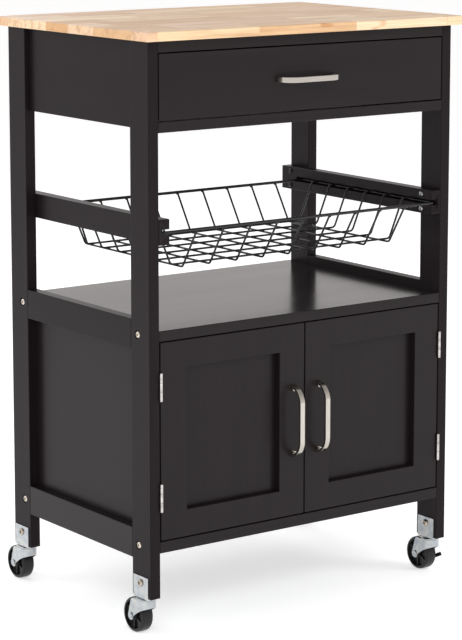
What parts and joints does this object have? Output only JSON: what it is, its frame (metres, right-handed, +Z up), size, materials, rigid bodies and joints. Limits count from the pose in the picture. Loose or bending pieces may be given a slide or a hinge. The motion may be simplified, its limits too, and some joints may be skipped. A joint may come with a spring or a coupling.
{
  "type": "kitchen cart",
  "caption": "Rolling kitchen cart with a light wood worktop over a dark frame: a drawer, a sliding wire basket, an open shelf and a cabinet with framed doors, on swivel casters.",
  "frame": {"origin": "on the floor under the middle of the worktop", "axes": "+Z up, front with drawer and doors towards -Y, +X to the right seen from the front"},
  "size_m": [0.566, 0.4152, 0.85],
  "materials": {
    "light_wood": "satin lacquer",
    "black_wood": "satin paint",
    "black_panel": "satin paint",
    "black_wire": "gloss",
    "zinc_plate": "zinc plated",
    "nickel": "brushed nickel",
    "bright_screws": "plated",
    "grey_enamel": "enamel",
    "wheel_plastic": "satin",
    "black_plastic": "gloss"
  },
  "bodies": {
    "frame": {"back_apron": "black_wood", "back_panel": "black_panel", "basket_rail_screws": "bright_screws", "basket_rails": "black_wood", "bottom_side_rails": "black_wood", "cabinet_floor": "black_wood", "caster_plates": "zinc_plate", "caster_screws": "bright_screws", "door_catch": "black_plastic", "drawer_opening_rails": "black_wood", "drawer_runners": "grey_enamel", "frame_bolts": "bright_screws", "hinge_frame_leaves": "zinc_plate", "hinge_pins": "zinc_plate", "leg_back_left": "black_wood", "leg_back_right": "black_wood", "leg_front_left": "black_wood", "leg_front_right": "black_wood", "shelf_board": "black_wood", "shelf_side_rails": "black_wood", "side_aprons": "black_wood", "side_panels": "black_panel", "worktop": "light_wood", "worktop_cleats": "black_wood"},
    "drawer": {"drawer_front": "black_wood", "drawer_sides": "black_wood", "drawer_back": "black_wood", "drawer_bottom": "black_panel", "drawer_slide_rails": "grey_enamel", "drawer_handle": "nickel", "drawer_handle_screws": "bright_screws"},
    "basket": {"basket_floor": "black_wire", "basket_front": "black_wire", "basket_back": "black_wire", "basket_left": "black_wire", "basket_right": "black_wire"},
    "door_left": {"door_left_stiles": "black_wood", "door_left_rails": "black_wood", "door_left_panel": "black_panel", "door_left_strike": "zinc_plate", "door_left_handle": "nickel", "door_left_handle_screws": "bright_screws", "door_left_hinge_leaves": "zinc_plate"},
    "door_right": {"door_right_stiles": "black_wood", "door_right_rails": "black_wood", "door_right_panel": "black_panel", "door_right_strike": "zinc_plate", "door_right_handle": "nickel", "door_right_handle_screws": "bright_screws", "door_right_hinge_leaves": "zinc_plate"},
    "caster_front_left": {"fork_front_left": "zinc_plate"},
    "wheel_front_left": {"wheel_front_left": "wheel_plastic"},
    "caster_front_right": {"fork_front_right": "zinc_plate"},
    "wheel_front_right": {"wheel_front_right": "wheel_plastic"},
    "caster_back_left": {"fork_back_left": "zinc_plate"},
    "wheel_back_left": {"wheel_back_left": "wheel_plastic"},
    "caster_back_right": {"fork_back_right": "zinc_plate"},
    "wheel_back_right": {"wheel_back_right": "wheel_plastic"},
    "brake_front_right": {"brake_lever_front_right": "black_plastic"},
    "brake_back_right": {"brake_lever_back_right": "black_plastic"}
  },
  "joints": [
    {"name": "drawer_slide", "type": "slide", "parent": "frame", "child": "drawer", "axis": [0, -1, 0], "range_m": [0, 0.23]},
    {"name": "basket_slide", "type": "slide", "parent": "frame", "child": "basket", "axis": [0, -1, 0], "range_m": [0, 0.22]},
    {"name": "door_left_hinge", "type": "hinge", "parent": "frame", "child": "door_left", "pos_m": [-0.252, -0.1856, 0.27975], "axis": [0, 0, -1], "range_deg": [0, 170]},
    {"name": "door_right_hinge", "type": "hinge", "parent": "frame", "child": "door_right", "pos_m": [0.252, -0.1856, 0.27975], "axis": [0, 0, 1], "range_deg": [0, 170]},
    {"name": "caster_front_left_swivel", "type": "hinge", "parent": "frame", "child": "caster_front_left", "pos_m": [-0.26125, -0.16025, 0.052], "axis": [0, 0, 1], "continuous": true},
    {"name": "wheel_front_left_roll", "type": "hinge", "parent": "caster_front_left", "child": "wheel_front_left", "pos_m": [-0.26125, -0.13925, 0.025], "axis": [1, 0, 0], "continuous": true},
    {"name": "caster_front_right_swivel", "type": "hinge", "parent": "frame", "child": "caster_front_right", "pos_m": [0.26125, -0.16025, 0.052], "axis": [0, 0, 1], "continuous": true},
    {"name": "wheel_front_right_roll", "type": "hinge", "parent": "caster_front_right", "child": "wheel_front_right", "pos_m": [0.26125, -0.13925, 0.025], "axis": [1, 0, 0], "continuous": true},
    {"name": "caster_back_left_swivel", "type": "hinge", "parent": "frame", "child": "caster_back_left", "pos_m": [-0.26125, 0.16025, 0.052], "axis": [0, 0, 1], "continuous": true},
    {"name": "wheel_back_left_roll", "type": "hinge", "parent": "caster_back_left", "child": "wheel_back_left", "pos_m": [-0.26125, 0.18125, 0.025], "axis": [1, 0, 0], "continuous": true},
    {"name": "caster_back_right_swivel", "type": "hinge", "parent": "frame", "child": "caster_back_right", "pos_m": [0.26125, 0.16025, 0.052], "axis": [0, 0, 1], "continuous": true},
    {"name": "wheel_back_right_roll", "type": "hinge", "parent": "caster_back_right", "child": "wheel_back_right", "pos_m": [0.26125, 0.18125, 0.025], "axis": [1, 0, 0], "continuous": true},
    {"name": "brake_front_right_press", "type": "hinge", "parent": "caster_front_right", "child": "brake_front_right", "pos_m": [0.26125, -0.13925, 0.025], "axis": [1, 0, 0], "range_deg": [0, 12]},
    {"name": "brake_back_right_press", "type": "hinge", "parent": "caster_back_right", "child": "brake_back_right", "pos_m": [0.26125, 0.18125, 0.025], "axis": [1, 0, 0], "range_deg": [0, 12]}
  ]
}
